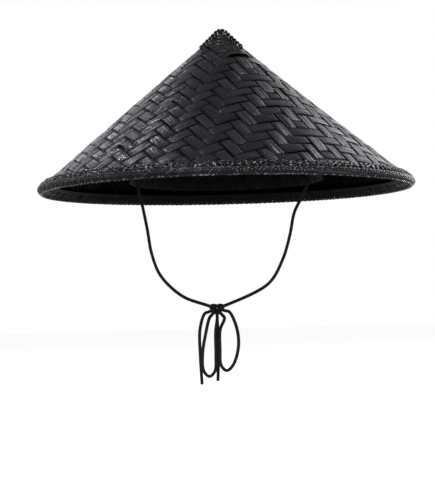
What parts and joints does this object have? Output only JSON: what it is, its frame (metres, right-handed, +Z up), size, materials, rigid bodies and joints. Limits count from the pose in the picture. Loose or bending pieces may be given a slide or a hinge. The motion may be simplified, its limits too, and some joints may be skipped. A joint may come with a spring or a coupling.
{
  "type": "conical woven bamboo hat with chin cord",
  "caption": "Wide, shallow cone of black lacquered twill-woven bamboo with a bound rim, a lashed apex, a ring for the head and a chin cord tied in a bow.",
  "frame": {"origin": "on the hat's axis in the lower mouth of the head ring, 6 mm above the middle of the rim; this is where the hat rests on a head", "axes": "+Z up to the apex; the front of the hat faces -Y; +X is the side on the viewer's right"},
  "size_m": [0.3793, 0.3794, 0.3568],
  "materials": {
    "lacquered_bamboo": "black lacquer, satin",
    "lacquered_binding": "black lacquer, satin, rough windings",
    "braided_cord": "matt braided cord"
  },
  "bodies": {
    "root": {"crown": "lacquered_bamboo", "rim_hoop_outer": "lacquered_binding", "rim_hoop_inner": "lacquered_binding", "rim_edge_binding": "lacquered_binding", "apex_cap": "lacquered_binding", "head_ring": "lacquered_bamboo", "ring_tie_left": "braided_cord", "ring_tie_right": "braided_cord", "chin_knot": "braided_cord", "chin_cord_left": "braided_cord", "chin_cord_right": "braided_cord", "bow_loop_left": "braided_cord", "bow_loop_right": "braided_cord", "cord_end_left": "braided_cord", "cord_end_right": "braided_cord"}
  },
  "joints": []
}
